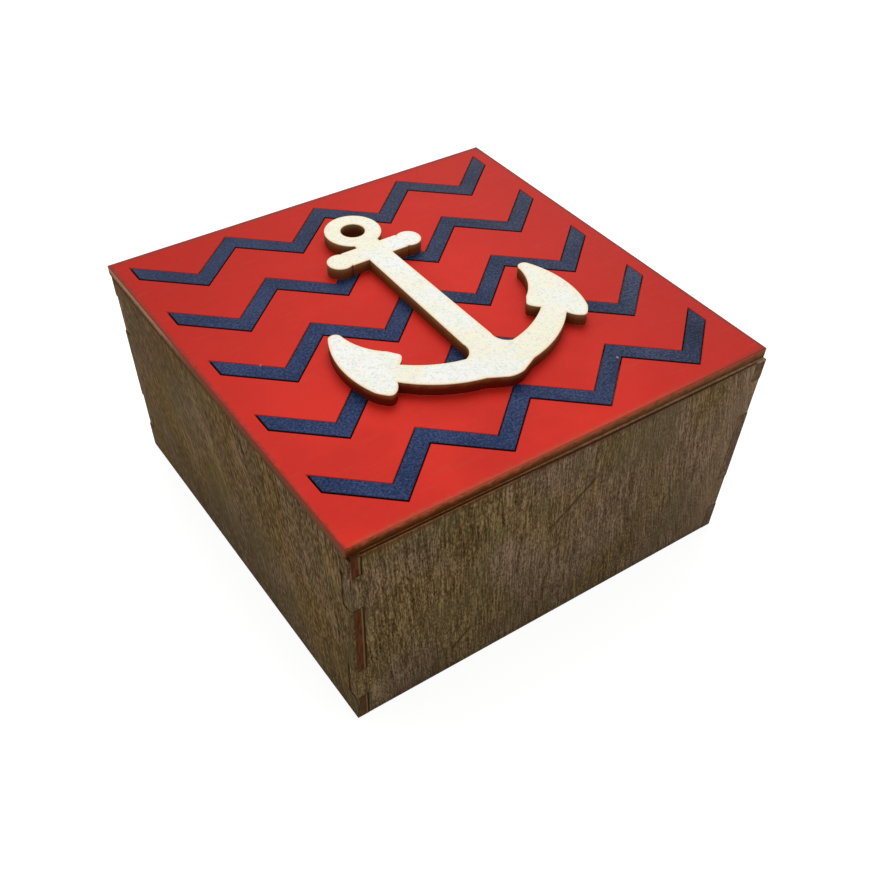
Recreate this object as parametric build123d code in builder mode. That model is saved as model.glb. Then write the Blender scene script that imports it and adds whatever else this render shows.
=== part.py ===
from build123d import *
import os

os.makedirs("parts", exist_ok=True)

# Driving sizes in millimetres. X runs along the front, Y to the back and Z up.
# The origin is the middle of the underside of the box body.
box_width = 120.0
box_depth = 120.0
wall_height = 58.5
wall_thick = 3.2
floor_thick = 3.2
lid_thick = 2.7
locating_thick = 3.2
anchor_thick = 3.2

# Fits and laid-out clearances.
finger_gap = 0.08  # saw-thin line left by the laser at each flank of a finger
finger_short = 0.25  # front and back fingers stop this far inside the side faces
mouth_gap = 0.5  # locating plate to the inside of each wall
lid_set_back = 1.0  # the lid plate sits this far back on its locating plate

# Zigzag stripes let into the lid.
stripe_count = 5
stripe_waves = 4
stripe_side_margin = 4.3
stripe_end_margin = 4.1
stripe_rise = 12.3  # peak to valley
stripe_band = 6.5  # width of a stripe, measured front to back
inlay_gap = 0.25
inlay_shift = 0.12  # each inlay is pushed to the back right of its window

# Anchor, drawn on its own centre line with y = 0 at the point of the crown.
anchor_foot = -37.9  # point of the crown, from the middle of the lid
anchor_off_centre = 0.3
ring_radius = 7.7
ring_hole_radius = 3.3
ring_height = 72.9
stock_height = 61.8
stock_width = 6.4
stock_reach = 14.05
stock_end_radius = 3.5
stock_neck = 8.5  # from the centre line to the nick beside each rounded end
shank_top_width = 7.1
shank_foot_width = 8.2
shank_foot_height = 16.0
crotch_height = 11.05  # lowest point of the rounded corner between shank and arm
crotch_reach = 6.85
crotch_middle = (5.25, 12.05)
crown_nose = (2.25, 0.35)
crown_shoulder = (6.95, 2.75)
arm_under_middle = (14.1, 5.0)
arm_top_middle = (13.0, 12.9)
arm_heel_corner = (24.9, 12.7)
heel_inner = (25.75, 11.05)
heel_inner_end = (27.2, 9.7)
heel_tip = (28.3, 9.4)
heel_outer_end = (29.3, 9.9)
heel_outer = (30.4, 11.05)
fluke_foot = (31.25, 12.2)
arm_reach = 33.3
fluke_outer_height = 22.5  # where the outer edge is widest
fluke_outer_top = (30.1, 35.1)
fluke_tip = (28.4, 36.0)
fluke_inner_top = (26.75, 34.6)
fluke_inner_middle = (24.8, 28.2)
fluke_inner_foot = (20.7, 23.5)
barb_top = (19.2, 21.5)
barb_tip = (18.8, 20.75)
barb_under = (18.9, 20.1)
barb_under_middle = (19.7, 18.9)
barb_corner = (20.95, 17.8)

# The fingers are laid out over the closed height in units of one finger, so that the
# lid's edge completes the shorter top finger: 0.75, 1, 2, 1 and 0.75 units.
closed_height = wall_height + lid_thick
end_share = 0.75
middle_share = 2.0
finger = closed_height / (2 * end_share + 2 + middle_share)
foot_top = end_share * finger
middle_low = foot_top + finger
middle_top = middle_low + middle_share * finger
head_low = middle_top + finger

inner_width = box_width - 2 * wall_thick
inner_depth = box_depth - 2 * wall_thick
side_fingers = [(0, foot_top), (middle_low, middle_top), (head_low, wall_height)]
front_fingers = [
    (foot_top + finger_gap, middle_low - finger_gap),
    (middle_top + finger_gap, head_low - finger_gap),
]


def save(piece, name):
    piece.part.label = name
    export_step(piece.part, f"parts/{name}.step")


def board_outline(core_length, full_length, fingers):
    # A wall standing on its edge, with the same fingers at both ends.
    with Locations((0, wall_height / 2)):
        Rectangle(core_length, wall_height)
    for low, high in fingers:
        with Locations((0, (low + high) / 2)):
            Rectangle(full_length, high - low)


# Front and back walls: their fingers fill the second and fourth places.
front_planes = {
    "front_wall": Plane.XZ.offset(box_depth / 2 - wall_thick),
    "back_wall": Plane.XZ.offset(-box_depth / 2),
}
for name, plane in front_planes.items():
    with BuildPart() as wall:
        with BuildSketch(plane):
            board_outline(inner_width, box_width - 2 * finger_short, front_fingers)
        extrude(amount=wall_thick)
    save(wall, name)

# Side walls: their fingers show as end grain on the front and the back.
side_planes = {
    "left_wall": Plane.YZ.offset(-box_width / 2),
    "right_wall": Plane.YZ.offset(box_width / 2 - wall_thick),
}
for name, plane in side_planes.items():
    with BuildPart() as wall:
        with BuildSketch(plane):
            board_outline(inner_depth, box_depth, side_fingers)
        extrude(amount=wall_thick)
    save(wall, name)

# The floor is glued in between the walls, flush with their lower edges.
with BuildPart() as floor_panel:
    with BuildSketch():
        Rectangle(inner_width, inner_depth)
    extrude(amount=floor_thick)
save(floor_panel, "floor_panel")

# The locating plate drops into the mouth of the box and backs the inlays.
with BuildPart() as lid_locating_plate:
    with BuildSketch(Plane.XY.offset(wall_height - locating_thick)):
        Rectangle(inner_width - 2 * mouth_gap, inner_depth - 2 * mouth_gap)
    extrude(amount=locating_thick)
save(lid_locating_plate, "lid_locating_plate")

# Lid plate with one zigzag window for each inlay.
stripe_length = box_width - 2 * stripe_side_margin
half_wave = stripe_length / (2 * stripe_waves)
stripe_pitch = (box_depth - 2 * stripe_end_margin - stripe_rise - stripe_band) / (
    stripe_count - 1
)
stripe_tops = [
    box_depth / 2 - stripe_end_margin - row * stripe_pitch for row in range(stripe_count)
]
lid_plane = Plane(origin=(0, lid_set_back, wall_height))


def stripe_outline(top):
    # Starts and ends on a peak; the peaks point to the back of the box.
    back_edge = [
        (half_wave * step - stripe_length / 2, top - stripe_rise * (step % 2))
        for step in range(2 * stripe_waves + 1)
    ]
    front_edge = [(x, y - stripe_band) for x, y in reversed(back_edge)]
    Polygon(*back_edge, *front_edge, align=None)


with BuildPart() as lid_plate:
    with BuildSketch(lid_plane):
        Rectangle(box_width, box_depth)
    extrude(amount=lid_thick)
    with BuildSketch(lid_plane):
        for top in stripe_tops:
            stripe_outline(top)
    extrude(amount=lid_thick, mode=Mode.SUBTRACT)
save(lid_plate, "lid_plate")

inlay_plane = Plane(origin=(inlay_shift, lid_set_back + inlay_shift, wall_height))
for number, top in enumerate(stripe_tops, start=1):
    with BuildPart() as inlay:
        with BuildSketch(inlay_plane):
            stripe_outline(top)
            offset(amount=-inlay_gap, kind=Kind.INTERSECTION, mode=Mode.REPLACE)
        extrude(amount=lid_thick)
    save(inlay, f"chevron_inlay_{number}")

# Anchor cut from the wall stock and glued on the lid.
anchor_plane = Plane(
    origin=(anchor_off_centre, lid_set_back + anchor_foot, closed_height)
)
stock_end_centre = stock_reach - stock_end_radius
with BuildPart() as anchor_applique:
    with BuildSketch(anchor_plane):
        with BuildLine():
            TangentArc((0, 0), crown_nose, tangent=(1, 0))
            Line(crown_nose, crown_shoulder)
            ThreePointArc(crown_shoulder, arm_under_middle, arm_heel_corner)
            ThreePointArc(arm_heel_corner, heel_inner, heel_inner_end)
            ThreePointArc(heel_inner_end, heel_tip, heel_outer_end)
            ThreePointArc(heel_outer_end, heel_outer, fluke_foot)
            ThreePointArc(fluke_foot, (arm_reach, fluke_outer_height), fluke_outer_top)
            ThreePointArc(fluke_outer_top, fluke_tip, fluke_inner_top)
            ThreePointArc(fluke_inner_top, fluke_inner_middle, fluke_inner_foot)
            Line(fluke_inner_foot, barb_top)
            ThreePointArc(barb_top, barb_tip, barb_under)
            ThreePointArc(barb_under, barb_under_middle, barb_corner)
            ThreePointArc(barb_corner, arm_top_middle, (crotch_reach, crotch_height))
            ThreePointArc(
                (crotch_reach, crotch_height),
                crotch_middle,
                (shank_foot_width / 2, shank_foot_height),
            )
            Polyline(
                (shank_foot_width / 2, shank_foot_height),
                (shank_top_width / 2, stock_height),
                (shank_top_width / 2, ring_height),
                (0, ring_height),
                (0, 0),
            )
        make_face()
        mirror(about=Plane.YZ)
        with Locations((0, stock_height)):
            Rectangle(2 * stock_neck, stock_width)
        with Locations((stock_end_centre, stock_height), (-stock_end_centre, stock_height)):
            Circle(stock_end_radius)
        with Locations((0, ring_height)):
            Circle(ring_radius)
            Circle(ring_hole_radius, mode=Mode.SUBTRACT)
    extrude(amount=anchor_thick)
save(anchor_applique, "anchor_applique")
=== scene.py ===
import bpy
import math
from mathutils import Matrix, Vector


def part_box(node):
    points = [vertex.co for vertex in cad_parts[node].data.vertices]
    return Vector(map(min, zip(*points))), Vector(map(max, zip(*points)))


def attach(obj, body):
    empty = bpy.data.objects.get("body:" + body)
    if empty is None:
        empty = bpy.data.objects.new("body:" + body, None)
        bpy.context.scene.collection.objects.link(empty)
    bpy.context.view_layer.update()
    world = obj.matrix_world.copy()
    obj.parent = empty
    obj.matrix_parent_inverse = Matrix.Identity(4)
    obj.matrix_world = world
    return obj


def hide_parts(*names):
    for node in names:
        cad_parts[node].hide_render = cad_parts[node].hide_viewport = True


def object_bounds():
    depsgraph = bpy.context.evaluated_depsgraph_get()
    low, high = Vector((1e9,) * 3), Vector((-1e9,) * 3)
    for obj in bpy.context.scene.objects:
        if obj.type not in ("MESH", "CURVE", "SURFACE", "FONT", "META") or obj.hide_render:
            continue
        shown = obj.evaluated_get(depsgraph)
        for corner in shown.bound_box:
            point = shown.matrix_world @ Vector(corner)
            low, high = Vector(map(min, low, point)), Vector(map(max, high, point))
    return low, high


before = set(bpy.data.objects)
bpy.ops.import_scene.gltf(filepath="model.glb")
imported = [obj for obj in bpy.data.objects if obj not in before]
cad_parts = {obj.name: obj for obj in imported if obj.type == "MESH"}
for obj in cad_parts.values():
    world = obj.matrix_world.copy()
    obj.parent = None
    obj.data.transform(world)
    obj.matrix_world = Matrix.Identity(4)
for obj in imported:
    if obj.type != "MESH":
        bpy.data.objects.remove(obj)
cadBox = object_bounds()
print("frame loaded:", len(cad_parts), "solids")

# edges and middles that the finishes are laid out from
wallLeft, wallFront, wallFoot = cadBox[0]
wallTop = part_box("front_wall")[1][2]
lidLow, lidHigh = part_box("lid_plate")
lidLeft, lidRight = lidLow[0], lidHigh[0]
lidMiddle = (lidLow[1] + lidHigh[1]) / 2  # the lid is set back a little on the box
anchorLow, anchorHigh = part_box("anchor_applique")
anchorMiddle = (anchorLow[0] + anchorHigh[0]) / 2


def paint(red, green, blue):
    # a colour as a picture editor shows it, 0 to 255, for a shader
    def linear(value):
        share = value / 255
        return share / 12.92 if share <= 0.04045 else ((share + 0.055) / 1.055) ** 2.4
    return (linear(red), linear(green), linear(blue), 1.0)


class Wire:
    # one output socket; sums on wires add Math nodes
    def __init__(self, tree, socket):
        self.tree = tree
        self.socket = socket

    def node(self, kind, settings, inputs, output=0):
        made = self.tree.nodes.new(kind)
        for name, value in settings.items():
            if name == "stops":
                ramp = made.color_ramp
                while len(ramp.elements) < len(value):
                    ramp.elements.new(0.5)
                for element, (place, colour) in zip(ramp.elements, value):
                    element.position = place
                    element.color = colour
            else:
                setattr(made, name, value)
        for key, value in inputs.items():
            if isinstance(value, Wire):
                self.tree.links.new(value.socket, made.inputs[key])
            else:
                made.inputs[key].default_value = value
        return Wire(self.tree, made.outputs[output])

    def maths(self, operation, *values):
        return self.node("ShaderNodeMath", {"operation": operation}, dict(enumerate(values)))

    def __add__(self, other):
        return self.maths("ADD", self, other)

    __radd__ = __add__

    def __sub__(self, other):
        return self.maths("SUBTRACT", self, other)

    def __rsub__(self, other):
        return self.maths("SUBTRACT", other, self)

    def __mul__(self, other):
        return self.maths("MULTIPLY", self, other)

    __rmul__ = __mul__

    def __abs__(self):
        return self.maths("ABSOLUTE", self)


def newFinish(name, look):
    # a material, its shader and a wire with its Object coordinates
    material = bpy.data.materials.new(name)
    material.use_nodes = True
    shader = material.node_tree.nodes["Principled BSDF"]
    shader.inputs["Specular IOR Level"].default_value = look["specular"]
    place = Wire(material.node_tree, None).node("ShaderNodeTexCoord", {}, {}, "Object")
    return material, shader, place


def coat(shader, colour, roughness, normal):
    # what varies over a piece
    for socketName, wire in (("Base Color", colour), ("Roughness", roughness), ("Normal", normal)):
        wire.tree.links.new(wire.socket, shader.inputs[socketName])


def coordinates(place):
    split = place.node("ShaderNodeSeparateXYZ", {}, {0: place}).socket.node
    return [Wire(place.tree, socket) for socket in split.outputs]


def mark(place, name):
    return place.node("ShaderNodeAttribute", {"attribute_name": name}, {}, "Fac")


def cutMark(place):
    # 1 on laser-cut edges, 0 on faces and eased arrises
    return ease(mark(place, "cut"), 0.3, 0.8)


def rimMark(place):
    # 1 on the outline of a face, 0 inside its rim
    return 1 - mark(place, "inner")


def turned(place, turn):
    return place.node("ShaderNodeMapping", {}, {"Vector": place, "Rotation": turn})


def stretched(place, scale, shift=(0, 0, 0)):
    return place.node("ShaderNodeMapping", {}, {"Vector": place, "Location": shift, "Scale": scale})


def noise(place, scale=1.0, detail=2.0, rough=0.5):
    return place.node("ShaderNodeTexNoise", {}, {
        "Vector": place, "Scale": scale, "Detail": detail, "Roughness": rough})


def ease(value, low, high, fromValue=0.0, toValue=1.0):
    # a fade: a soft step from low to high, where low may be the greater
    return value.node("ShaderNodeMapRange", {"interpolation_type": "SMOOTHSTEP"}, {
        "Value": value, "From Min": low, "From Max": high, "To Min": fromValue, "To Max": toValue})


def near(value, edge, fade):
    # a fade from a look whose first two figures count from an edge
    low, high, *strengths = fade
    return ease(value, edge + low, edge + high, *strengths)


def larger(first, second):
    return first.maths("MAXIMUM", first, second)


def blend(factor, first, second):
    # mixes two colours, each a wire or a colour from a look
    first, second = [colour if isinstance(colour, Wire) else paint(*colour) for colour in (first, second)]
    return factor.node("ShaderNodeMix", {"data_type": "RGBA"}, {0: factor, 6: first, 7: second}, 2)


def layered(value, places, colours):
    # a colour ramp through the colours of a look
    stops = [(place, paint(*colour)) for place, colour in zip(places, colours)]
    return value.node("ShaderNodeValToRGB", {"stops": stops}, {"Fac": value})


def bump(height, strength, distance):
    return height.node("ShaderNodeBump", {}, {
        "Height": height, "Strength": strength, "Distance": distance}, "Normal")


def streak(across, upright, start, finish, width):
    # 1 on a line over a board from start to finish, 0 beyond width to either side;
    # it fades out over a fifth of its length at both ends
    length = math.dist(start, finish)
    stepAcross = (finish[0] - start[0]) / length
    stepUp = (finish[1] - start[1]) / length
    away = (across - start[0]) * stepUp - (upright - start[1]) * stepAcross
    gone = (across - start[0]) * stepAcross + (upright - start[1]) * stepUp
    tail = length / 5
    return ease(away * away, width ** 2, 0) * ease(gone, 0, tail) * ease(gone, length, length - tail)


def reach(across, upright, centreAcross, centreUp, outer, inner):
    # 1 inside a round spot, 0 beyond its outer radius
    fromX = across - centreAcross
    fromY = upright - centreUp
    return ease(fromX * fromX + fromY * fromY, outer ** 2, inner ** 2)


# how level a face has to be to count as the board's own, and the limits for merging and smoothing
boardMaking = {"flatNormal": 0.999, "mergeWithin": 0.000002, "smoothBelow": math.radians(20)}


def pickOnly(piece):
    bpy.ops.object.select_all(action="DESELECT")
    piece.select_set(True)
    bpy.context.view_layer.objects.active = piece


def easeFace(piece, axis, side, look):
    # eases the arris round one face of a board and marks the face off from its rim:
    # the attribute inner is 1 from look["rim"] inside the outline and 0 on the outline
    bpy.ops.object.mode_set(mode="EDIT")
    bpy.ops.mesh.select_mode(type="FACE")
    bpy.ops.mesh.select_all(action="DESELECT")
    bpy.ops.object.mode_set(mode="OBJECT")
    for face in piece.data.polygons:
        face.select = face.normal[axis] * side > boardMaking["flatNormal"]
    inwards = Vector((0, 0, 0))
    inwards[axis] = -side * look["easing"]
    bpy.ops.object.mode_set(mode="EDIT")
    bpy.ops.transform.translate(value=inwards)
    bpy.ops.mesh.inset(thickness=look["easing"], depth=look["easing"], use_even_offset=True)
    bpy.ops.mesh.inset(thickness=look["rim"], depth=0, use_even_offset=True)
    bpy.ops.mesh.delete(type="FACE")
    bpy.ops.mesh.select_mode(type="EDGE")
    bpy.ops.mesh.select_non_manifold(extend=False, use_wire=False, use_boundary=True,
                                     use_multi_face=False, use_non_contiguous=False, use_verts=False)
    bpy.ops.mesh.fill(use_beauty=True)
    bpy.ops.object.mode_set(mode="OBJECT")
    marks = piece.data.attributes.get("inner") or piece.data.attributes.new("inner", "FLOAT", "POINT")
    for corner in piece.data.vertices:
        if corner.select:
            marks.data[corner.index].value = 1.0


def cutBoard(nodeName, pieceName, body, look):
    # a merged copy of the solid with eased faces and two more marks for its finish:
    # depth runs from the show face (0) to the far face (1), cut is 1 on laser-cut edges
    piece = bpy.data.objects.new(pieceName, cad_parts[nodeName].data.copy())
    bpy.context.scene.collection.objects.link(piece)
    piece.data.materials.clear()
    pickOnly(piece)
    bpy.ops.mesh.customdata_custom_splitnormals_clear()
    bpy.ops.object.mode_set(mode="EDIT")
    bpy.ops.mesh.select_all(action="SELECT")
    bpy.ops.mesh.remove_doubles(threshold=boardMaking["mergeWithin"])
    bpy.ops.object.mode_set(mode="OBJECT")
    axis = look["axis"]
    for side in (1, -1):
        easeFace(piece, axis, side, look)
    mesh = piece.data
    showSide, paleAndLitSide = [corner[axis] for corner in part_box(nodeName)]
    if look["shows"] == "high":
        showSide, paleAndLitSide = paleAndLitSide, showSide
    depths = [(vertex.co[axis] - showSide) / (paleAndLitSide - showSide) for vertex in mesh.vertices]
    cuts = [1.0 - abs(face.normal[axis]) for face in mesh.polygons]
    mesh.attributes.new("depth", "FLOAT", "POINT").data.foreach_set("value", depths)
    mesh.attributes.new("cut", "FLOAT", "FACE").data.foreach_set("value", cuts)
    pickOnly(piece)
    bpy.ops.object.shade_smooth_by_angle(angle=boardMaking["smoothBelow"])
    bpy.ops.object.select_all(action="DESELECT")
    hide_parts(nodeName)
    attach(piece, body)
    return piece


# a fade in a look says from where to where, and the strength at either place where it isn't 0 and 1
wallLook = {
    "easing": 0.00010, "rim": 0.00045, "specular": 0.06,
    # foot is the colour of the painted shade at the foot of a board
    "olive": (112, 102, 66), "foot": (62, 54, 42), "burn": (34, 19, 6),
    "brownLedge": (176, 118, 74), "paleLedge": (184, 148, 112),
    "scorched": (60, 34, 12), "toasted": (116, 68, 28), "plainEnd": (124, 96, 88),
    "redCore": (118, 68, 42), "brownCore": (112, 80, 52), "paleVeneer": (142, 110, 70),
    # cells of each noise in a metre, the last figure up the board
    "wobbleCells": (60, 60, 25), "lineCells": (2200, 2200, 130), "glintCells": (2900, 2900, 330),
    "streakCells": (300, 300, 45), "figureCells": (95, 95, 20), "patchCells": (34, 34, 26),
    "tintCells": (46, 46, 40), "greenCells": (60, 60, 50), "ledgeCells": (650, 650, 900),
    # how far the grain wanders, how much its lines count and where the noises turn to a colour
    "wander": 0.0015, "lines": 1.4, "toneStops": (0.0, 0.5, 1.0), "mauveTints": (0.38, 0.62),
    "oliveGreens": (0.5, 0.68, 0, 0.4),
    "darkGlints": (0.38, 0.28, 0, 0.3), "paleGlints": (0.60, 0.72, 0, 0.45),
    "bandWidth": 0.0018, "scratchWidth": 0.0006, "scratchSkin": (0.0010, 0.0004), "scratchTicks": (0.3, 0.5),
    # the painted shade at the foot of a board, from its lower edge up, how much of it the ends lose, and the
    # deeper painted shade along the lower edge
    "footHeight": (0.034, 0.002), "footRagged": 0.02, "footShadeStrength": 0.36, "footShadeLostAtEnds": 0.22,
    "soleShadeHeight": (0.0030, 0.0004, 0, 0.3),
    # the toasted strip and the ledge, from the top down, and the burnt rims
    "toastBand": (-0.0014, -0.0005), "toastRagged": 0.001, "toastEnds": (-0.04, 0.04, 0.7, 0.35),
    "ledgeBand": (-0.0004, -0.0002), "rimRagged": 0.9, "rimBurn": (0.55, 1.0, 0, 0.85),
    # end grain: where the core, the inner veneer and the burnt arris start, as shares of the board
    "layers": [(0.19, 0.24), (0.76, 0.80), (0.88, 0.94)], "layerRagged": 0.08,
    "redCoreHeight": (0.006, 0.011), "coreLines": (0.38, 0.62, 0.45, 0.0),
    "plainLines": (0.3, 0.7, 0.5, 0.2), "plainWall": (-0.01, 0.01),
    # the ledge along x: paler to the right, with a burnt line whose depth in the board varies, and painted
    # shade at the left corner under the lid
    "ledgePaler": (-0.05, 0.05), "ledgePatches": (0.40, 0.60, 0, 0.3),
    "ledgeCornerShade": (0.0040, 0.0025, 0, 0.8),
    "burntDepth": (-0.030, 0.008, 0.175, 0.05), "burntWidthSquared": (0.013, 0.005, 0, 0.9),
    "roughness": (0.3, 0.7, 0.9, 0.75), "bumpLines": 0.7, "bumpTicks": 0.5, "bump": (0.5, 0.0001),
}
# each board has a yellow and a mauve run of its stain, from dark to light, and fades along it
frontLook = dict(
    wallLook, axis=1, seed=2.0, lean=4, figureLean=5, sway=(-0.01, 0.06, 0, 0.22),
    ticks=1.3, tickCells=(2700, 2700, 1000), streaks=0.3, patches=0.2, mauveDrift=1.2,
    figure=(-0.02, 0.04, 0.36, 0.24), vigour=(-0.05, 0.05, 1.1, 0.95),
    yellow=[(60, 42, 15), (122, 98, 62), (192, 162, 112)],
    mauve=[(68, 48, 26), (131, 105, 80), (192, 164, 132)],
    leftFootLighter=(-0.045, -0.058, 0, 1), rightFootLighter=(0.0, 0.06, 0, 0.5), paleEnd=(0.045, 0.058, 0, 0.25),
    cornerScorch=(0.0006, 0.0009, 0.2, 1), endScorch=(0.040, 0.055, 1, 0.55),
    topBand=(-0.0003, -0.0001), topLoss=(0, -0.02, 0, 0.8),
    scratches=[((-0.0330, 0.0070), (-0.0255, 0.0145), 0.9), ((-0.0075, 0.0335), (0.0100, 0.0475), 0.75),
               ((-0.0300, 0.0100), (0.0170, 0.0555), 0.3)],
    bands=[((0.0455, 0.008), (0.0475, 0.030)), ((0.0475, 0.026), (0.0535, 0.050))], bandStrength=0.13)
sideLook = dict(
    wallLook, axis=0, seed=6.0, lean=8, figureLean=26, sway=(-0.05, 0.05, 0, -0.2),
    ticks=1.95, tickCells=(1900, 1900, 640), streaks=0.6, patches=0.4, mauveDrift=0,
    figure=(-0.05, 0.05, 0.36, 0.36), vigour=(0.05, -0.05, 0.7, 1.1),
    yellow=[(60, 42, 14), (114, 88, 50), (170, 138, 90)],
    mauve=[(64, 46, 24), (118, 93, 64), (174, 144, 110)],
    leftFootLighter=(-0.045, -0.058, 0, 0), rightFootLighter=(0.02, 0.05, 0, 1),
    cornerScorch=(0.0003, 0.0007, 0.2, 1), endScorch=(0.040, 0.055, 1, 1),
    topBand=(-0.0030, -0.0015), topLoss=(0.02, -0.01, 0, 0.8),
    bands=[((0.0175, 0.051), (-0.0025, 0.021)), ((-0.005, 0.057), (-0.020, 0.027)),
           ((-0.049, 0.057), (-0.058, 0.036))], bandStrength=0.2)


def boardGrain(place, along, z, look):
    # the noises of a board; the fine ones follow its grain, which leans to the left going up the
    # front and to the back going up the sides, most at the right end and at the back end
    front = look["axis"] == 1
    seed = look["seed"]
    wobble = noise(stretched(place, look["wobbleCells"]), detail=1.0) - 0.5
    wander = wobble * look["wander"]
    swayed = wander + z * ease(along, *look["sway"])
    shifts = {0: swayed, 1: wander} if front else {0: wander, 1: swayed}
    shift = place.node("ShaderNodeCombineXYZ", {}, shifts)
    bent = place.node("ShaderNodeVectorMath", {"operation": "ADD"}, {0: place, 1: shift})
    grained, figured = [turned(bent, (0, math.radians(lean), 0) if front else (math.radians(lean), 0, 0))
                        for lean in (look["lean"], look["figureLean"])]
    return {
        "wobble": wobble,
        "lines": noise(stretched(grained, look["lineCells"], (seed, 1, 2)), rough=0.6),
        "ticks": noise(stretched(grained, look["tickCells"], (3, seed, 1)), detail=1.0),
        "glints": noise(stretched(grained, look["glintCells"], (8, 4, seed)), detail=1.0),
        "streaks": noise(stretched(figured, look["streakCells"], (seed, 2, 5))),
        "figure": noise(stretched(figured, look["figureCells"], (seed, 0, 0)), rough=0.6),
        "patches": noise(stretched(place, look["patchCells"], (5, seed, 9)), detail=1.0),
        "tints": noise(stretched(place, look["tintCells"], (seed, 11, 4))),
        "greens": noise(stretched(place, look["greenCells"], (7, seed, 2))),
    }


def boardStain(grain, along, z, look):
    # the stained face without the painted shade at its foot; the grain stands out most at the front left
    # corner of the box
    dark, light = look["yellow"][0], look["yellow"][-1]
    vigour = ease(along, *look["vigour"])
    fine = ((grain["lines"] - 0.5) * look["lines"] + (grain["ticks"] - 0.5) * look["ticks"]
            + (grain["streaks"] - 0.5) * look["streaks"])
    tone = 0.5 + vigour * fine + (grain["patches"] - 0.5) * look["patches"]
    tone = tone + (grain["figure"] - 0.5) * ease(along, *look["figure"])
    for start, finish in look["bands"]:
        tone = tone + streak(along, z, start, finish, look["bandWidth"]) * look["bandStrength"]
    yellow, mauve = [layered(tone, look["toneStops"], look[name]) for name in ("yellow", "mauve")]
    stain = blend(ease(grain["tints"] + along * look["mauveDrift"], *look["mauveTints"]), yellow, mauve)
    stain = blend(ease(grain["greens"], *look["oliveGreens"]), stain, look["olive"])
    stain = blend(ease(grain["glints"], *look["darkGlints"]) * vigour, stain, dark)
    return blend(ease(grain["glints"], *look["paleGlints"]) * vigour, stain, light)


def scratched(stain, grain, x, y, z, look):
    # scratches on the outside of the front wall, and its paler right end
    outside = near(y, wallFront, look["scratchSkin"]) * ease(grain["ticks"], *look["scratchTicks"])
    for start, finish, strength in look["scratches"]:
        line = streak(x, z, start, finish, look["scratchWidth"]) * outside
        stain = blend(line * strength, stain, look["yellow"][0])
    return blend(ease(x, *look["paleEnd"]), stain, look["mauve"][-1])


def paintedFootShade(stain, grain, along, z, look):
    # painted shade: the foot of a board is darker, less so at its ends, and darkest at its lower edge
    lighterEnds = ease(along, *look["leftFootLighter"]) + ease(along, *look["rightFootLighter"])
    foot = near(z + (grain["patches"] - 0.5) * look["footRagged"], wallFoot, look["footHeight"])
    stain = blend(foot * (look["footShadeStrength"] - lighterEnds * look["footShadeLostAtEnds"]), stain, look["foot"])
    return blend(near(z, wallFoot, look["soleShadeHeight"]), stain, look["foot"])


def endGrain(stain, grain, spread, x, z, look):
    # the left wall's ends show stained veneer, core, pale inner veneer and a burnt arris
    core = blend(near(z, wallFoot, look["redCoreHeight"]), look["brownCore"], look["redCore"])
    core = blend(ease(grain["lines"], *look["coreLines"]), core, look["burn"])
    ends = stain
    for start, layer in zip(look["layers"], (core, look["paleVeneer"], look["burn"])):
        ends = blend(ease(spread, *start), ends, layer)
    plain = blend(ease(grain["lines"], *look["plainLines"]), stain, look["plainEnd"])
    return blend(ease(x, *look["plainWall"]), ends, plain)


def ledgeWood(place, spread, x, look):
    # the top of a wall: a burnt line along it runs out to the front arris at the right end; at the left
    # corner it is painted dark as shade under the lid
    patchy = noise(stretched(place, look["ledgeCells"]), detail=1.0)
    ledge = blend(ease(x, *look["ledgePaler"]), look["brownLedge"], look["paleLedge"])
    ledge = blend(ease(patchy, *look["ledgePatches"]), ledge, look["scorched"])
    apart = spread - ease(x, *look["burntDepth"])
    ledge = blend(ease(apart * apart, *look["burntWidthSquared"]), ledge, look["scorched"])
    # painted shade under the lid's front left corner
    return blend(near(x, wallLeft, look["ledgeCornerShade"]), ledge, look["scorched"])


def stainedPly(name, look):
    material, shader, place = newFinish(name, look)
    x, y, z = coordinates(place)
    front = look["axis"] == 1
    along = x if front else y
    grain = boardGrain(place, along, z, look)
    lines = grain["lines"]
    ticks = grain["ticks"]
    stain = boardStain(grain, along, z, look)
    if front:
        stain = scratched(stain, grain, x, y, z, look)
    stain = paintedFootShade(stain, grain, along, z, look)
    # the laser scorched the rims less at the front left corner of the box, at the right end of the
    # front, on its top arris at the left and along the top of the sides in their front half
    corner = wallLeft if front else wallFront
    topLoss = near(z, wallTop, look["topBand"]) * ease(along, *look["topLoss"])
    scorch = near(along, corner, look["cornerScorch"]) * ease(along, *look["endScorch"]) * (1 - topLoss)
    toast = near(z + grain["wobble"] * look["toastRagged"], wallTop, look["toastBand"])
    stain = blend(toast * ease(x, *look["toastEnds"]) * scorch, stain, look["toasted"])
    cut = cutMark(place)
    spread = mark(place, "depth") + (lines - 0.5) * look["layerRagged"]
    ends = stain if front else endGrain(stain, grain, spread, x, z, look)
    ends = blend(near(z, wallTop, look["ledgeBand"]), ends, ledgeWood(place, spread, x, look))
    rim = ease(rimMark(place) * (1 - cut) + (ticks - 0.5) * look["rimRagged"], *look["rimBurn"])
    colour = blend(rim * scorch, blend(cut, stain, ends), look["burn"])
    relief = lines * look["bumpLines"] + ticks * look["bumpTicks"]
    coat(shader, colour, ease(lines, *look["roughness"]), bump(relief, *look["bump"]))
    return material


frontPly = stainedPly("stainedPlyFront", frontLook)
sidePly = stainedPly("stainedPlySide", sideLook)

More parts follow.
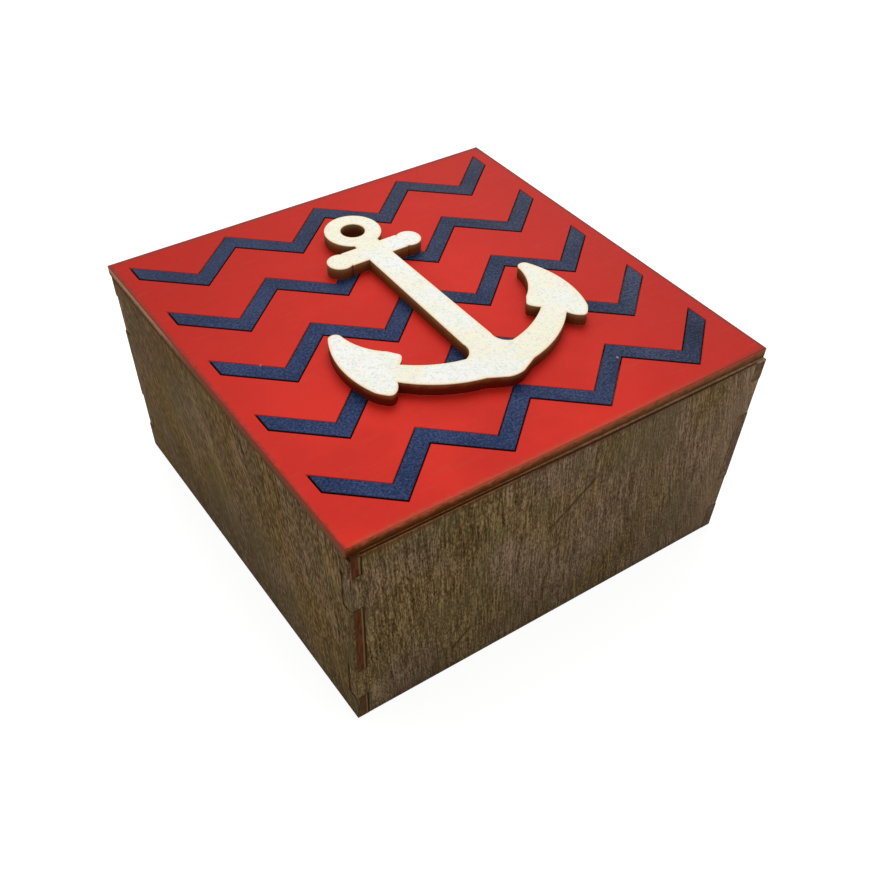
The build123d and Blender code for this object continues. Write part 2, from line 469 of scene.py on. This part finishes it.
wallPieces = {
    "front_wall": ("frontWall", 1, "low", frontPly),
    "back_wall": ("backWall", 1, "high", frontPly),
    "left_wall": ("leftWall", 0, "low", sidePly),
    "right_wall": ("rightWall", 0, "high", sidePly),
    "floor_panel": ("floorPanel", 2, "low", frontPly),
}
for nodeName, (pieceName, axis, shows, finish) in wallPieces.items():
    look = dict(wallLook, axis=axis, shows=shows)
    piece = cutBoard(nodeName, pieceName, "box", look)
    piece.data.materials.append(finish)
print("box boards done")


# two spots beside the windows where the paint has chipped off
chipLook = {
    "places": [(-0.0462, 0.0020), (0.0269, -0.0419)], "outer": 0.0004, "inner": 0.0001, "strength": 0.65,
    "bareWood": (212, 160, 136),
}


def chipped(colour, x, y, look):
    for place in look["places"]:
        chip = reach(x, y, *place, look["outer"], look["inner"]) * look["strength"]
        colour = blend(chip, colour, look["bareWood"])
    return colour


lidLook = {
    "easing": 0.00012, "rim": 0.0010, "axis": 2, "shows": "high", "specular": 0.10,
    "red": (218, 45, 32), "deepRed": (204, 40, 28), "shadedRightRed": (180, 40, 33), "shadedBackRed": (172, 26, 10),
    "worn": (168, 87, 58), "dulled": (124, 55, 46), "thin": (124, 46, 36), "paintedRingShade": (84, 30, 14),
    # the cut edges from their top to their foot
    "edgeStops": (0.05, 0.3, 0.6, 0.95),
    "frontEdge": [(228, 109, 74), (170, 88, 51), (109, 53, 15), (82, 40, 10)],
    "rightEdge": [(205, 95, 65), (167, 97, 65), (128, 83, 50), (98, 60, 26)],
    "leftEdge": [(172, 70, 44), (146, 74, 40), (126, 77, 42), (100, 63, 32)],
    "paleEdge": [(214, 140, 104), (214, 162, 122), (176, 134, 94), (80, 52, 20)],
    "cleanEdge": (154, 92, 64),
    # cells of each noise in a metre
    "cloudCells": 45, "grainCells": (90, 900, 900), "gritCells": 1900, "outlineCells": 750,
    "patchCells": (600, 600, 1100), "charCells": (150, 150, 900),
    # the red darkening from the front left to the right and to the back as painted shade of the light
    # falling off, and the painted shade in the anchor's ring hole
    "cloud": (0.35, 0.65), "drift": 0.04, "toRight": (0.0, 0.07, 0, 0.85), "toBack": (0.0, 0.09, 0, 0.8),
    "backSlant": 0.6, "wornGrain": (0.55, 0.75, 0, 0.15), "wornGrit": (0.55, 0.8, 0, 0.15),
    "ringHole": (0.0003, 0.0363), "ringReach": (0.0038, 0.0030), "paintedRingShadeStrength": 0.85,
    # the outline: thin paint at the left, worn paint at the front and more at the right and back
    "ragged": 0.0020, "thinBand": (0.0011, -0.0003, 0, 0.9), "thinAtBack": (-0.035, -0.010, 0, 0.0004),
    "wornBand": (-0.0016, 0), "wornAtBack": (0.054, 0.058, 0, 0.0006),
    "wornFromLeft": (0.001, 0.003, 0.1, 0.55), "dulledRight": (0.02, 0.055),
    "fartherBand": (-0.0040, -0.0025), "fartherRight": (-0.0040, -0.0025, 0.1, 0.3),
    # the cut edge: how patchy, and where each of its colours holds
    "patches": 0.9, "char": 0.25, "charAtLeft": (-0.034, -0.05, -0.04, 0.08),
    "darkPatches": (0.55, 0.75, 0, 0.5),
    "frontToRight": (-0.04, 0.03), "leftBand": (0.0004, 0.0002),
    "cleanAtFront": (-0.025, -0.055, 0, 0.5), "paleAtBack": (0.01, 0.035),
    "roughness": (0.3, 0.7, 0.62, 0.72), "bumpGrain": 0.6, "bumpGrit": 0.4, "bump": (0.25, 0.00008),
}


def redPaint(place, x, y, grain, grit, look):
    cloud = noise(place, look["cloudCells"], 3.0, 0.55)
    drift = (cloud - 0.5) * look["drift"]
    red = blend(ease(cloud, *look["cloud"]), look["deepRed"], look["red"])
    # painted shade: the red darkens to the right and to the back, as the light falls off
    red = blend(ease(x + drift, *look["toRight"]), red, look["shadedRightRed"])
    red = blend(ease(y - x * look["backSlant"] + drift, *look["toBack"]), red, look["shadedBackRed"])
    red = blend(ease(grain, *look["wornGrain"]), red, look["worn"])
    red = blend(ease(grit, *look["wornGrit"]), red, look["worn"])
    # painted shade inside the anchor's ring hole, where the ring keeps light off the lid
    shade = reach(x, y, *look["ringHole"], *look["ringReach"]) * look["paintedRingShadeStrength"]
    return blend(shade, red, look["paintedRingShade"])


def wornOutline(red, place, x, y, look):
    # paint that is thin or worn off along the outline of the lid
    ragged = (noise(place, look["outlineCells"], 3.0, 0.65) - 0.5) * look["ragged"]
    thin = near(x + ragged - ease(y, *look["thinAtBack"]), lidLeft, look["thinBand"])
    outwards = larger(abs(x), abs(y - lidMiddle)) + ragged + ease(y, *look["wornAtBack"])
    farther = near(larger(x, y - lidMiddle), lidRight, look["fartherBand"])
    strength = near(x, lidLeft, look["wornFromLeft"]) + farther * near(x, lidRight, look["fartherRight"])
    wood = blend(ease(x, *look["dulledRight"]) + farther, look["worn"], look["dulled"])
    face = blend(thin, red, look["thin"])
    return blend(near(outwards, lidRight, look["wornBand"]) * strength, face, wood)


def lidEdge(place, x, y, look):
    # the cut edge darkens downwards; the right end and the back end of the left edge are paler
    patchy = noise(stretched(place, look["patchCells"]), rough=0.6)
    cloudy = noise(stretched(place, look["charCells"]))
    char = (mark(place, "depth") + (cloudy - 0.5) * look["char"] + (patchy - 0.5) * look["patches"]
            + ease(x, *look["charAtLeft"]))
    front, right, left, pale = [layered(char, look["edgeStops"], look[name])
                                for name in ("frontEdge", "rightEdge", "leftEdge", "paleEdge")]
    left = blend(ease(y, *look["cleanAtFront"]), left, look["cleanEdge"])
    left = blend(ease(y, *look["paleAtBack"]), left, pale)
    edge = blend(ease(x, *look["frontToRight"]), front, right)
    edge = blend(near(x, lidLeft, look["leftBand"]), edge, left)
    return blend(ease(patchy, *look["darkPatches"]), edge, look["leftEdge"][-1])


def redPly(look):
    material, shader, place = newFinish("redPaintedPly", look)
    x, y = coordinates(place)[:2]
    grain = noise(stretched(place, look["grainCells"]), rough=0.6)
    grit = noise(place, look["gritCells"])
    cut = cutMark(place)
    face = wornOutline(redPaint(place, x, y, grain, grit, look), place, x, y, look)
    colour = chipped(blend(cut, face, lidEdge(place, x, y, look)), x, y, chipLook)
    relief = grain * look["bumpGrain"] + grit * look["bumpGrit"]
    coat(shader, colour, ease(grit + cut, *look["roughness"]), bump(relief, *look["bump"]))
    return material


lidPlate = cutBoard("lid_plate", "lidPlate", "lid", lidLook)
lidPlate.data.materials.append(redPly(lidLook))
print("lid plate done")


inlayLook = {
    "count": 5, "easing": 0.0001, "rim": 0.0006, "axis": 2, "shows": "high", "specular": 0.10,
    # speckled blue at the left and at the right of the lid, from dark to light
    "left": [(8, 24, 58), (25, 45, 85), (54, 71, 115)],
    "right": [(22, 28, 46), (40, 47, 71), (69, 76, 101)],
    "back": (36, 40, 57), "burn": (24, 14, 16), "blueStops": (0.33, 0.5, 0.67),
    "cloudCells": 60, "speckleCells": 1800, "clouds": 0.45,
    "drift": 0.04, "toRight": (-0.03, 0.07), "toBack": (-0.02, 0.07, 0, 0.5),
    "rimRagged": 0.5, "rimBurn": (0.7, 1.05, 0, 0.6),
    "roughness": (0.3, 0.7, 0.7, 0.55), "bump": (0.35, 0.00008),
}


def bluePly(look):
    material, shader, place = newFinish("bluePaintedPly", look)
    x, y = coordinates(place)[:2]
    cloud = noise(place, look["cloudCells"]) - 0.5
    speckle = noise(place, look["speckleCells"], 2.0, 0.8)
    drift = cloud * look["drift"]
    left, right = [layered(speckle + cloud * look["clouds"], look["blueStops"], look[name])
                   for name in ("left", "right")]
    blue = blend(ease(x + drift, *look["toRight"]), left, right)
    blue = blend(ease(y + drift, *look["toBack"]), blue, look["back"])
    rim = ease(rimMark(place) + (speckle - 0.5) * look["rimRagged"], *look["rimBurn"])
    colour = blend(cutMark(place), blend(rim, blue, look["burn"]), look["burn"])
    colour = chipped(colour, x, y, chipLook)
    coat(shader, colour, ease(speckle, *look["roughness"]), bump(speckle, *look["bump"]))
    return material


blueFinish = bluePly(inlayLook)
for number in range(1, inlayLook["count"] + 1):
    inlay = cutBoard(f"chevron_inlay_{number}", f"zigzagInlay{number}", "lid",
                     inlayLook)
    inlay.data.materials.append(blueFinish)
print("inlays done")


plateLook = {
    "easing": 0.00012, "rim": 0.0008, "axis": 2, "shows": "low", "specular": 0.2,
    "light": (214, 184, 140), "dark": (176, 140, 96), "burn": (88, 52, 28),
    "grainCells": (45, 700, 900), "cloudCells": (8, 50, 60), "clouds": 0.6, "lightGrain": (0.3, 0.7),
    "rimBurn": (0.5, 1.0, 0, 0.6), "edgeDark": 0.9,
    "roughness": (0.3, 0.7, 0.75, 0.6), "bump": (0.3, 0.00008),
}


def plainPly(look):
    material, shader, place = newFinish("plainPly", look)
    fine = noise(stretched(place, look["grainCells"]), detail=3.0, rough=0.6)
    cloud = noise(stretched(place, look["cloudCells"]))
    light = ease(fine + (cloud - 0.5) * look["clouds"], *look["lightGrain"])
    wood = blend(light, look["dark"], look["light"])
    colour = blend(ease(rimMark(place), *look["rimBurn"]), wood, look["burn"])
    colour = blend(cutMark(place) * look["edgeDark"], colour, look["burn"])
    coat(shader, colour, ease(fine, *look["roughness"]), bump(fine, *look["bump"]))
    return material


locatingPlate = cutBoard("lid_locating_plate", "locatingPlate", "lid", plateLook)
locatingPlate.data.materials.append(plainPly(plateLook))
print("locating plate done")


anchorLook = {
    "easing": 0.00012, "rim": 0.0008, "axis": 2, "shows": "high", "specular": 0.10,
    "white": (247, 249, 245), "warmWhite": (250, 246, 222), "leftWhite": (252, 253, 248),
    "yellowed": (249, 243, 212), "cream": (249, 229, 196), "fleck": (216, 217, 207),
    "pink": (252, 238, 238), "green": (236, 247, 230),
    # the cut edges from their top to their foot, the red brown lower stops partly a painted reflection of
    # the red lid
    "sideStops": (0.0, 0.18, 0.36, 0.55, 1.0),
    "side": [(150, 104, 64), (138, 82, 48), (107, 43, 16), (97, 24, 5), (96, 18, 6)],
    "paleAndLitSide": [(156, 124, 84), (142, 112, 72), (126, 86, 50), (114, 62, 28), (108, 48, 18)],
    # cells of each noise in a metre
    "cloudCells": 90, "mottleCells": 430, "tintCells": (330, 330, 330), "gritCells": 1700,
    "charCells": (450, 450, 700),
    # where the noises turn to a colour, and how much
    "toLeft": (0.005, -0.030, 0, 0.8), "clouds": (0.36, 0.64), "pinkTints": (0.52, 0.68, 0, 0.4),
    "greenTints": (0.48, 0.32, 0, 0.4), "mottle": (0.45, 0.7, 0, 0.4), "grit": (0.48, 0.68, 0, 0.75),
    "rimRagged": 0.8, "rimCream": (0.1, 0.9, 0, 0.85),
    # the cut edge: how patchy, and where its paler colours hold, on the right arm as painted light
    "char": 0.35, "shankAcross": (0.0075, 0.0055), "shankAlong": (-0.028, -0.025),
    "farBack": (-0.025, 0.025), "litRight": (0.0, 0.018, 0, 0.8),
    "roughness": (0.3, 0.7, 0.66, 0.5), "bumpGrit": 0.5, "bumpMottle": 0.5, "bump": (0.25, 0.00008),
    # yellowed spots and clean ones: where they are on the lid, their size, and how yellow
    "spots": [(0.0000, 0.0363, 0.013, 0.16), (-0.0110, 0.0245, 0.009, 0.14),
              (0.0003, -0.0200, 0.009, 0.14), (0.0130, -0.0290, 0.011, 0.14),
              (-0.0220, -0.0230, 0.007, 0.08), (0.0120, 0.0245, 0.009, -0.14),
              (0.0003, 0.0050, 0.014, -0.10), (-0.0270, -0.0120, 0.014, -0.14),
              (0.0003, -0.0150, 0.009, -0.10), (-0.0110, -0.0280, 0.009, -0.10),
              (0.0280, -0.0060, 0.016, 0.09), (0.0240, -0.0240, 0.009, 0.10)],
    "spotCore": 0.3,
}


def whitePaint(place, x, y, grit, mottle, look):
    cloud = noise(place, look["cloudCells"], 2.0, 0.6)
    for spotX, spotY, size, yellowing in look["spots"]:
        cloud = cloud + reach(x, y, spotX, spotY, size, size * look["spotCore"]) * yellowing
    tints = noise(stretched(place, look["tintCells"], (4, 7, 2)), rough=0.6)
    white = blend(ease(x, *look["toLeft"]), look["white"], look["leftWhite"])
    white = blend(ease(cloud, *look["clouds"]), white, look["warmWhite"])
    white = blend(ease(tints, *look["pinkTints"]), white, look["pink"])
    white = blend(ease(tints, *look["greenTints"]), white, look["green"])
    white = blend(ease(mottle, *look["mottle"]), white, look["yellowed"])
    return blend(ease(grit, *look["grit"]), white, look["fleck"])


def anchorEdge(place, x, y, look):
    # the cut edge darkens downwards into a red brown that is partly a painted reflection of the red lid; it
    # is paler to the back and down the shank, and painted lighter on the right arm as a side in light
    patchy = noise(stretched(place, look["charCells"]), rough=0.6)
    char = mark(place, "depth") + (patchy - 0.5) * look["char"]
    side, paleAndLitSide = [layered(char, look["sideStops"], look[name]) for name in ("side", "paleAndLitSide")]
    shank = ease(abs(x - anchorMiddle), *look["shankAcross"]) * ease(y, *look["shankAlong"])
    farther = larger(ease(y, *look["farBack"]), ease(x, *look["litRight"]))
    return blend(larger(farther, shank), side, paleAndLitSide)


def whitePly(look):
    material, shader, place = newFinish("whitePaintedPly", look)
    x, y = coordinates(place)[:2]
    grit = noise(place, look["gritCells"], 2.0, 0.7)
    mottle = noise(place, look["mottleCells"], 2.0, 0.6)
    rim = ease(rimMark(place) + (mottle - 0.5) * look["rimRagged"], *look["rimCream"])
    face = blend(rim, whitePaint(place, x, y, grit, mottle, look), look["cream"])
    colour = blend(cutMark(place), face, anchorEdge(place, x, y, look))
    relief = grit * look["bumpGrit"] + mottle * look["bumpMottle"]
    coat(shader, colour, ease(grit, *look["roughness"]), bump(relief, *look["bump"]))
    return material


anchor = cutBoard("anchor_applique", "anchor", "lid", anchorLook)
anchor.data.materials.append(whitePly(anchorLook))
print("anchor done")


studio = {
    "floorSize": 6.0, "floorGap": 0.00002, "floorAlbedo": 0.35, "floorGlow": 0.86, "skyStrength": 0.56,
    "lampWidth": 1.0, "lampPower": 9.3, "lampPlace": (0.42, 0.66, 1.0), "lampAim": (0.0, 0.0, 0.05),
}


def seenDirectly(wire):
    # 1 for camera, mirror and see-through rays, 0 for light that bounces about
    shown = wire.node("ShaderNodeLightPath", {}, {}, "Is Camera Ray")
    path = shown.socket.node
    for name in ("Is Glossy Ray", "Is Transmission Ray"):
        shown = larger(shown, Wire(wire.tree, path.outputs[name]))
    return shown


bpy.ops.mesh.primitive_plane_add(size=studio["floorSize"], location=(0, 0, wallFoot - studio["floorGap"]))
floor = bpy.context.active_object
floor.name = "studioFloor"
floorMaterial = bpy.data.materials.new("paleFloor")
floorMaterial.use_nodes = True
floorTree = floorMaterial.node_tree
floorTree.nodes.clear()
floorWire = Wire(floorTree, None)
floorDiffuse = floorWire.node("ShaderNodeBsdfDiffuse", {}, {"Color": (studio["floorAlbedo"],) * 3 + (1,)})
floorGlow = floorWire.node("ShaderNodeEmission", {}, {
    "Color": (1, 1, 1, 1), "Strength": seenDirectly(floorWire) * studio["floorGlow"]})
floorSum = floorWire.node("ShaderNodeAddShader", {}, {0: floorDiffuse, 1: floorGlow})
floorOut = floorTree.nodes.new("ShaderNodeOutputMaterial")
floorTree.links.new(floorSum.socket, floorOut.inputs["Surface"])
floor.data.materials.append(floorMaterial)

world = bpy.data.worlds.new("softRoom")
bpy.context.scene.world = world
world.use_nodes = True
worldTree = world.node_tree
sky = worldTree.nodes["Background"]
sky.inputs["Color"].default_value = (1, 1, 1, 1)
skyStrength = studio["skyStrength"] + seenDirectly(Wire(worldTree, None)) * (1 - studio["skyStrength"])
worldTree.links.new(skyStrength.socket, sky.inputs["Strength"])

lampAim = Vector(studio["lampAim"])
lampPlace = Vector(studio["lampPlace"])
bpy.ops.object.light_add(type="AREA", location=lampPlace)
lamp = bpy.context.active_object
lamp.name = "softLamp"
lamp.data.shape = "DISK"
lamp.data.size = studio["lampWidth"]
lamp.data.energy = studio["lampPower"]
lamp.rotation_euler = (lampAim - lampPlace).to_track_quat("-Z", "Y").to_euler()
print("studio done")


view = {
    "lens": 40.295, "sensor": 36.0, "clipStart": 0.01, "shiftX": 0.0157, "shiftY": 0.1813,
    "azimuth": math.radians(-34.951), "elevation": math.radians(50.673), "roll": math.radians(1.171),
    "distance": 0.22782, "target": (-0.03844, -0.05521, 0.02947),
}
back = Vector((math.sin(view["azimuth"]) * math.cos(view["elevation"]),
               -math.cos(view["azimuth"]) * math.cos(view["elevation"]),
               math.sin(view["elevation"])))
right = Vector((math.cos(view["azimuth"]), math.sin(view["azimuth"]), 0))
up = back.cross(right)
cameraX = math.cos(view["roll"]) * right + math.sin(view["roll"]) * up
cameraY = -math.sin(view["roll"]) * right + math.cos(view["roll"]) * up
cameraData = bpy.data.cameras.new("photoCamera")
cameraData.lens = view["lens"]
cameraData.sensor_width = view["sensor"]
cameraData.shift_x = view["shiftX"]
cameraData.shift_y = view["shiftY"]
cameraData.clip_start = view["clipStart"]
camera = bpy.data.objects.new("photoCamera", cameraData)
bpy.context.scene.collection.objects.link(camera)
turn = Matrix((cameraX, cameraY, back)).transposed().to_4x4()
camera.matrix_world = Matrix.Translation(Vector(view["target"]) + back * view["distance"]) @ turn
bpy.context.scene.camera = camera
bpy.context.scene.view_settings.view_transform = "Standard"
print("camera done")
